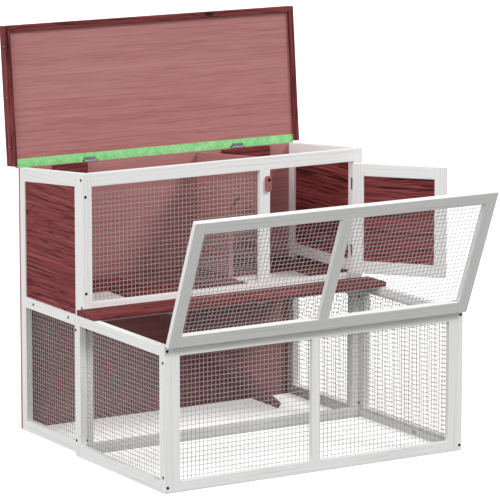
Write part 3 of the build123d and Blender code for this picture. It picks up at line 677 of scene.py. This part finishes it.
def lid_point(x, s, n):
    """Point of the open lid: s up from its pins, n towards its felted outside."""
    pin = joint_place("lid_hinge")
    up = Vector((0, math.sin(LID_LEAN), math.cos(LID_LEAN)))
    out = Vector((0, math.cos(LID_LEAN), -math.sin(LID_LEAN)))
    return Vector((x, pin.y, pin.z)) + up * s + out * n


def net_panes():
    """Each net: its CAD node, its body, and its panes as (matrix, width, height)."""
    panes = []
    for node, inward in (
        ("house_left_net", 1), ("house_right_net", -1), ("run_left_net", 1), ("run_right_net", -1),
    ):
        low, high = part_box(node)
        centre = [(a + b) / 2 for a, b in zip(low, high)]
        panes.append((node, "cage", [(
            in_plane(centre, (0, -inward, 0), (0, 0, 1)), high[1] - low[1], high[2] - low[2],
        )]))
    low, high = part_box("upper_front_net")
    centre = [(a + b) / 2 for a, b in zip(low, high)]
    panes.append(("upper_front_net", "cage", [(
        in_plane(centre, (1, 0, 0), (0, 0, 1)), high[0] - low[0], high[2] - low[2],
    )]))
    low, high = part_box("run_front_net")
    # The net is stapled in two halves that leave 4 mm free behind the mullion.
    mullion_x, half_gap = -4.5 * MM, 2 * MM
    halves = []
    for start, end in ((low[0], mullion_x - half_gap), (mullion_x + half_gap, high[0])):
        centre = ((start + end) / 2, (low[1] + high[1]) / 2, (low[2] + high[2]) / 2)
        halves.append((in_plane(centre, (1, 0, 0), (0, 0, 1)), end - start, high[2] - low[2]))
    panes.append(("run_front_net", "cage", halves))
    low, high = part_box("hatch_net")
    up = hatch_point(0, 1, 0) - hatch_point(0, 0, 0)
    bottom, top = 28.6 * MM, 366.6 * MM
    halves = []
    for start, end in ((low[0], -half_gap), (half_gap, high[0])):
        centre = hatch_point((start + end) / 2, (bottom + top) / 2, -0.5 * MM)
        halves.append((in_plane(centre, (1, 0, 0), up), end - start, top - bottom))
    panes.append(("hatch_net", "hatch", halves))
    return panes


def cage_screws():
    """Black screws of the fixed frames: (place, direction that the head faces)."""
    screws = []
    for side in (-1, 1):
        outer = (side, 0, 0)
        for y, z in ((-0.5, 359), (-0.5, 44), (-487, 356), (-487, 42)):
            screws.append(((side * 480, y, z), outer))
        for y, z in ((81.5, 378), (291.5, 378), (0.0, 778), (0.0, 418)):
            screws.append(((side * 460, y, z), outer))
        for z in (389, 15):
            screws.append(((side * 472, -497.5, z), (0, -1, 0)))
        for x, z in ((450, 731), (450, 459), (451, 358), (451, 43)):
            screws.append(((side * x, -7.5, z), (0, -1, 0)))
        for z in (60, 200, 330, 470, 610, 740):
            screws.append(((side * 450, 373.5, z), (0, 1, 0)))
        for x in (120, 320):
            screws.append(((side * x, 373.5, 386), (0, 1, 0)))
    for x in (-335, -267, 228, 346):
        screws.append(((x, 373.5, 735), (0, 1, 0)))
    for x in (-440, 0, 440):
        screws.append(((x, -60, 416.5), (0, 0, 1)))
    return [(Vector(place) * MM, Vector(facing)) for place, facing in screws]


def lid_brads():
    """Bright brads that hold the lid's boards to the edge of its panel."""
    brads = []
    for side in (-1, 1):
        for s in (60, 200, 345):
            brads.append((lid_point(side * LID_HALF_WIDTH * MM, s * MM, 6.0 * MM), Vector((side, 0, 0))))
    end = lid_point(0, 1, 0) - lid_point(0, 0, 0)
    for x in (-400, -240, -80, 80, 240, 400):
        brads.append((lid_point(x * MM, 401.3 * MM, 6.0 * MM), end))
    return brads


def hinge_screws():
    """Small screws in the hinge leaves, by body: (place, direction). hatch_fixed is the leaves on the run."""
    by_body = {"cage": [], "lid": [], "hatch": [], "hatch_fixed": [], "door": []}
    pin = joint_place("lid_hinge")
    for centre in ROOF_HINGES:
        for x in (centre - 11, centre + 11):
            by_body["cage"].append((Vector((x * MM, pin.y - 7 * MM, pin.z - 0.1 * MM)), Vector((0, 0, 1))))
            out = lid_point(0, 0, -1) - lid_point(0, 0, 0)
            by_body["lid"].append((lid_point(x * MM, 7 * MM, 0.1 * MM), out))
    hatch_pin = joint_place("hatch_hinge")
    back = hatch_point(0, -1, 0) - hatch_point(0, 0, 0)
    for centre in HATCH_HINGES:
        for x in (centre - 15, centre + 15):
            by_body["hatch_fixed"].append((
                Vector((x * MM, hatch_pin.y + 1.4 * MM, hatch_pin.z - 8.5 * MM)), Vector((0, -1, 0)),
            ))
            by_body["hatch"].append((hatch_point(x * MM, 1.4 * MM, 8.5 * MM), back))
    door_pin = joint_place("door_hinge")
    w = Vector((math.sin(DOOR_TURN), -math.cos(DOOR_TURN), 0))
    u = Vector((math.cos(DOOR_TURN), math.sin(DOOR_TURN), 0))
    for centre in DOOR_HINGES:
        for z in (centre - 10, centre + 10):
            by_body["cage"].append((
                Vector((door_pin.x + 0.1 * MM, door_pin.y + 9.5 * MM, z * MM)), Vector((-1, 0, 0)),
            ))
            seat = Vector((door_pin.x, door_pin.y, z * MM)) + w * 9.5 * MM + u * 0.1 * MM
            by_body["door"].append((seat, -u))
    return by_body


def felt_fold(material):
    """The roofing felt with its real loose fold round the rear edge of the lid: the fold sags 3 mm below
    the panel, slightly wavy, and stands back where the two hinges are; the strip turned inside is
    7 mm narrower than in the frame."""
    pin, up = joint_place("lid_hinge"), lid_point(0, 1, 0) - lid_point(0, 0, 0)
    # Corners of the fold's section: millimetres up the lid from its pins, and towards its outside.
    section = (
        (3.5, 1.35), (0.5, 1.3), (-1.8, 1.5), (-2.9, 2.6), (-3.6, 5.0), (-3.4, 9.0), (-1.8, 13.0),
        (1.0, 15.8), (3.5, 16.8),
    )
    half_length, steps = 462.0, 154
    whole = bmesh.new()
    whole.from_mesh(frame["nodes"]["lid_felt"].data)
    whole.transform(frame["nodes"]["lid_felt"].matrix_world)
    for corner in whole.verts:
        away = corner.co - Vector((corner.co.x, pin.y, pin.z))
        rise, depth = away.dot(up), (away - up * away.dot(up)).length
        if depth < 4.0 * MM and rise > 20.0 * MM:
            corner.co -= up * 7.0 * MM
    rows = []
    for i in range(steps + 1):
        x = -half_length + 2 * half_length * i / steps
        wave = noise.noise(Vector((x * 0.021, 0.3, 0.0)))
        ripple = noise.noise(Vector((x * 0.09, 7.1, 0.0)))
        at_hinge = min(abs(x - centre) for centre in ROOF_HINGES) < 24.0
        row = []
        for s, n in section:
            sag = (0.9 * wave + 0.35 * ripple) if s < 3.0 else 0.0
            n = max(n + 0.5 * ripple * (s < 0), 4.8 if at_hinge else 1.3)
            row.append(whole.verts.new(lid_point(x * MM, (s + sag) * MM, n * MM)))
        rows.append(row)
    for low, high in zip(rows, rows[1:]):
        for j in range(len(section)):
            k = (j + 1) % len(section)
            whole.faces.new((low[j], low[k], high[k], high[j]))
    whole.faces.new(rows[0])
    whole.faces.new(rows[-1])
    bmesh.ops.remove_doubles(whole, verts=whole.verts, dist=0.005 * MM)
    bmesh.ops.recalc_face_normals(whole, faces=whole.faces)
    mesh = bpy.data.meshes.new("lid_felt_sheet")
    whole.to_mesh(mesh)
    whole.free()
    mesh.materials.clear()
    mesh.materials.append(material)
    for face in mesh.polygons:
        face.material_index = 0
    made = bpy.data.objects.new("lid_felt_sheet", mesh)
    bpy.context.scene.collection.objects.link(made)
    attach(made, "lid")
    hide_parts("lid_felt")


def staple_rows():
    """Staples round each net, about 85 mm apart on its free face: by body, (place, direction)."""
    rows = {"cage": [], "hatch": []}
    inset, spacing = 0.005, 0.085
    free_sides = {
        "house_left_net": (1, 0, 0), "house_right_net": (-1, 0, 0), "run_left_net": (1, 0, 0),
        "run_right_net": (-1, 0, 0), "upper_front_net": (0, 1, 0), "run_front_net": (0, 1, 0),
        "hatch_net": hatch_point(0, 0, -1) - hatch_point(0, 0, 0),
    }
    for node, body, panes in net_panes():
        free = Vector(free_sides[node])
        for matrix, width, height in panes:
            right, top = width / 2 - inset, height / 2 - inset
            count_x, count_y = max(2, round(width / spacing)), max(2, round(height / spacing))
            seats = []
            for i in range(count_x + 1):
                x = -right + 2 * right * i / count_x
                seats += [(x, -top), (x, top)]
            for j in range(1, count_y):
                y = -top + 2 * top * j / count_y
                seats += [(-right, y), (right, y)]
            for x, y in seats:
                rows[body].append((matrix @ Vector((x, y, 0)) + free * 0.6 * MM, free))
    return rows


def fasten(name, body, places, head_mesh, material, seed=1):
    """One object of like fasteners that rides on a body."""
    head = bpy.data.objects.new("fastener_head", head_mesh)
    tree, sockets = fastener_tree(f"{name} on points")
    mesh = run_tree(tree, sockets, {"Head": head, "Seed": seed, "Material": material}, points_mesh(places))
    bpy.data.objects.remove(head)
    made = join(name, [(mesh, Matrix.Identity(4))])
    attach(made, body)


# Sizes and light levels


class CageSettings(bpy.types.PropertyGroup):
    """Sizes and light levels of the cage's dressing."""

    mesh_pitch: bpy.props.FloatProperty(
        name="Mesh pitch", description="Distance between the wires of the nets",
        default=0.0127, min=0.005, max=0.06, unit="LENGTH", subtype="DISTANCE",
    )
    wire_thickness: bpy.props.FloatProperty(
        name="Wire thickness", description="Thickness of the wires of the nets",
        default=0.0015, min=0.0004, max=0.004, unit="LENGTH", subtype="DISTANCE",
    )
    screw_radius: bpy.props.FloatProperty(
        name="Screw head radius", description="Radius of the black frame screws",
        default=0.0042, min=0.001, max=0.008, unit="LENGTH", subtype="DISTANCE",
    )
    floor_colour: bpy.props.FloatVectorProperty(
        name="Floor colour", description="Colour of the studio floor", subtype="COLOR", size=4,
        default=linear("#F4F4F4"), min=0.0, max=1.0,
    )
    key_strength: bpy.props.FloatProperty(
        name="Key strength", description="Strength of the main soft lamp",
        default=1.8, min=0.0, max=10.0,
    )
    fill_strength: bpy.props.FloatProperty(
        name="Fill strength", description="Strength of the broad lamp on the left",
        default=2.2, min=0.0, max=10.0,
    )
    sky_strength: bpy.props.FloatProperty(
        name="Sky strength", description="Strength of the light from all round",
        default=0.6, min=0.0, max=3.0,
    )


# Operators


class CAGE_OT_paint_frames(bpy.types.Operator):
    """Whitewash the slats of every frame, each with its grain along its length"""

    bl_idname = "cage.paint_frames"
    bl_label = "Paint the white frames"

    def execute(self, context):
        for direction, turn, names in WHITE_NODES:
            dress(names, whitewash(direction, turn))
        return {"FINISHED"}


class CAGE_OT_stain_boards(bpy.types.Operator):
    """Stain the planks, ledge, lid boards and floor dark red, the ramp and turn button pink"""

    bl_idname = "cage.stain_boards"
    bl_label = "Stain the red boards"

    def execute(self, context):
        for direction, turn, plank, seed, names in RED_NODES:
            dress(names, red_stain(direction, turn, plank, seed))
        for direction, turn, seed, name in RAMP_NODES:
            dress((name,), ramp_wood(direction, turn, seed))
        dress(("turn_button",), button_wood())
        return {"FINISHED"}


class CAGE_OT_finish_sheets(bpy.types.Operator):
    """Finish the plywood sheets and the roofing felt"""

    bl_idname = "cage.finish_sheets"
    bl_label = "Finish plywood and felt"

    def execute(self, context):
        for direction, turn, names in PLY_NODES:
            dress(names, pink_ply(direction, turn))
        felt_fold(green_felt())
        return {"FINISHED"}


class CAGE_OT_plate_hinges(bpy.types.Operator):
    """Plate or paint the hinge leaves and blacken the screw of the turn button"""

    bl_idname = "cage.plate_hinges"
    bl_label = "Finish the hinges"

    def execute(self, context):
        dress(HINGE_NODES, stamped_steel())
        dress(PAINTED_HINGE_NODES, painted_steel())
        dress(("turn_button_screw",), black_screw())
        return {"FINISHED"}


class CAGE_OT_weave_nets(bpy.types.Operator):
    """Make the welded wire nets, in place of the coarse nets of the frame"""

    bl_idname = "cage.weave_nets"
    bl_label = "Make the wire nets"

    def execute(self, context):
        settings = context.scene.cage_settings
        material = zinc_wire()
        tree, sockets = welded_net_tree()
        for index, (node, body, panes) in enumerate(net_panes()):
            meshes = []
            for matrix, width, height in panes:
                mesh = run_tree(tree, sockets, {
                    "Width": width, "Height": height, "Pitch": settings.mesh_pitch,
                    "Wire": settings.wire_thickness, "Seed": 10 + index, "Material": material,
                })
                meshes.append((mesh, matrix))
            made = join(node.replace("_net", "_wire_net"), meshes)
            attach(made, body)
            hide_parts(node)
        return {"FINISHED"}


class CAGE_OT_drive_screws(bpy.types.Operator):
    """Drive the black frame screws, the hinge screws, the lid brads and the net staples"""

    bl_idname = "cage.drive_screws"
    bl_label = "Add screws and staples"

    def execute(self, context):
        settings = context.scene.cage_settings
        black, bright, zinc = black_screw(), bright_nail(), bpy.data.materials["Galvanised steel wire"]
        frame_head = screw_head_mesh(settings.screw_radius)
        fasten("frame_screws", "cage", cage_screws(), frame_head, black)
        fasten("lid_brads", "lid", lid_brads(), nail_head_mesh(1.6 * MM), bright)
        for group, places in hinge_screws().items():
            painted = group.startswith("hatch")
            fasten(
                f"{group}_hinge_screws", "cage" if group == "hatch_fixed" else group, places,
                screw_head_mesh(2.0 * MM, 0.06 * MM),
                bpy.data.materials["Whitewashed hinge steel" if painted else "Zinc plated hinge steel"],
                seed=5,
            )
        for body, places in staple_rows().items():
            fasten(
                f"{body}_net_staples", body, places, staple_mesh(9.0 * MM, 1.0 * MM), zinc,
                seed=9,
            )
        return {"FINISHED"}


class CAGE_OT_set_stage(bpy.types.Operator):
    """Set the pale floor, the soft light and the camera"""

    bl_idname = "cage.set_stage"
    bl_label = "Set the stage"

    def execute(self, context):
        settings = context.scene.cage_settings
        place_camera(context.scene)
        make_floor(settings)
        make_light(context.scene, settings)
        context.scene.view_settings.view_transform = "Standard"
        return {"FINISHED"}


# Stage


# The camera's direction in degrees, its aim in millimetres, its distance in metres, and its focal
# length in pixels of a picture 500 pixels wide, all fitted to the photograph.
CAMERA_AZIMUTH, CAMERA_ELEVATION = -31.093, 10.565
CAMERA_AIM = Vector((61.684, -38.5, 538.876))
CAMERA_DISTANCE = 10.0107
FOCAL_PIXELS, PICTURE_PIXELS, SENSOR_WIDTH = 3530.412, 500.0, 36.0
FLOOR_HALF_SIDE = 30.0
# Light that the floor adds where the camera or a gloss sees it, so that it looks white.
FLOOR_GLOW = 0.42
# Share of light that the floor throws back up, low so that faces which look down stay grey.
FLOOR_BOUNCE = 0.1


def towards(azimuth, elevation):
    """Unit vector from the cage towards a camera or lamp at these angles in degrees."""
    az, el = math.radians(azimuth), math.radians(elevation)
    return Vector((math.sin(az) * math.cos(el), -math.cos(az) * math.cos(el), math.sin(el)))


def place_camera(scene):
    """The photograph's viewpoint: low on the left front, far away behind a long lens."""
    camera = bpy.data.objects.new("camera", bpy.data.cameras.new("camera"))
    scene.collection.objects.link(camera)
    away = towards(CAMERA_AZIMUTH, CAMERA_ELEVATION)
    camera.location = CAMERA_AIM * MM + away * CAMERA_DISTANCE
    camera.rotation_euler = away.to_track_quat("Z", "Y").to_euler()
    camera.data.sensor_width = SENSOR_WIDTH
    camera.data.lens = FOCAL_PIXELS * SENSOR_WIDTH / PICTURE_PIXELS
    camera.data.clip_end = 100.0
    scene.camera = camera


def seen_by(tree, first, *others):
    """One on rays of the kinds that are named, and nothing on all other rays."""
    path = add(tree, "ShaderNodeLightPath").outputs
    seen = path[first]
    for ray in others:
        seen = add(tree, MATH, {"operation": "MAXIMUM"}, {0: seen, 1: path[ray]}, 0)
    return seen


def make_floor(settings):
    """Wide pale floor just under the cage that keeps its soft shadow."""
    mesh = bpy.data.meshes.new("studio_floor")
    side = FLOOR_HALF_SIDE
    mesh.from_pydata(
        [(-side, -side, -MM), (side, -side, -MM), (side, side, -MM), (-side, side, -MM)], [], [(0, 1, 2, 3)]
    )
    floor = bpy.data.objects.new("studio_floor", mesh)
    bpy.context.scene.collection.objects.link(floor)
    material, tree = new_material("Studio floor paper")
    matt = add(tree, "ShaderNodeBsdfDiffuse", None, {"Color": settings.floor_colour}, 0)
    glow = add(tree, "ShaderNodeEmission", None, {"Color": (1, 1, 1, 1), "Strength": FLOOR_GLOW}, 0)
    pale = add(tree, "ShaderNodeAddShader", None, {0: matt, 1: glow}, 0)
    dim = add(tree, "ShaderNodeBsdfDiffuse", None, {"Color": (FLOOR_BOUNCE,) * 3 + (1.0,)}, 0)
    seen = seen_by(tree, "Is Camera Ray", "Is Glossy Ray")
    look = add(tree, "ShaderNodeMixShader", None, {0: seen, 1: dim, 2: pale}, 0)
    add(tree, "ShaderNodeOutputMaterial", None, {"Surface": look})
    mesh.materials.append(material)


def make_light(scene, settings):
    """Soft key lamp high on the right front, broad fill from the left, and a plain bright sky."""
    for name, azimuth, elevation, strength, width in (
        ("key_lamp", 40.0, 43.0, settings.key_strength, 16.0),
        ("fill_lamp", -75.0, 15.0, settings.fill_strength, 60.0),
    ):
        lamp = bpy.data.lights.new(name, "SUN")
        lamp.energy = strength
        lamp.angle = math.radians(width)
        holder = bpy.data.objects.new(name, lamp)
        holder.rotation_euler = towards(azimuth, elevation).to_track_quat("Z", "Y").to_euler()
        scene.collection.objects.link(holder)
    world = bpy.data.worlds.new("studio_sky")
    world.use_nodes = True
    tree = world.node_tree
    tree.nodes.clear()
    seen = seen_by(tree, "Is Camera Ray", "Is Glossy Ray", "Is Transmission Ray")
    # Inputs 2 and 3 are those of a mix of numbers: the sky that lights, and the white that is seen.
    strength = add(
        tree, "ShaderNodeMix", {"data_type": "FLOAT"}, {0: seen, 2: settings.sky_strength, 3: 1.0}, 0
    )
    sky = add(tree, "ShaderNodeBackground", None, {"Color": (1, 1, 1, 1), "Strength": strength}, 0)
    add(tree, "ShaderNodeOutputWorld", None, {"Surface": sky})
    scene.world = world


# Panel and registration


class CAGE_PT_dressing(bpy.types.Panel):
    """Panel with the cage's settings and its steps in order"""

    bl_idname = "CAGE_PT_dressing"
    bl_label = "Rabbit cage"
    bl_space_type = "VIEW_3D"
    bl_region_type = "UI"
    bl_category = "Cage"

    def draw(self, context):
        settings = context.scene.cage_settings
        for name in CageSettings.__annotations__:
            self.layout.prop(settings, name)
        for step in STEPS:
            self.layout.operator(step.bl_idname)


STEPS = (
    CAGE_OT_set_stage, CAGE_OT_paint_frames, CAGE_OT_stain_boards, CAGE_OT_finish_sheets,
    CAGE_OT_plate_hinges, CAGE_OT_weave_nets, CAGE_OT_drive_screws,
)


def register():
    for cls in (CageSettings, *STEPS, CAGE_PT_dressing):
        bpy.utils.register_class(cls)
    bpy.types.Scene.cage_settings = bpy.props.PointerProperty(type=CageSettings)


def unregister():
    del bpy.types.Scene.cage_settings
    for cls in reversed((CageSettings, *STEPS, CAGE_PT_dressing)):
        bpy.utils.unregister_class(cls)


def main():
    register()
    bpy.ops.cage.set_stage()
    bpy.ops.cage.paint_frames()
    bpy.ops.cage.stain_boards()
    bpy.ops.cage.finish_sheets()
    bpy.ops.cage.plate_hinges()
    bpy.ops.cage.weave_nets()
    bpy.ops.cage.drive_screws()


if __name__ == "__main__":
    main()
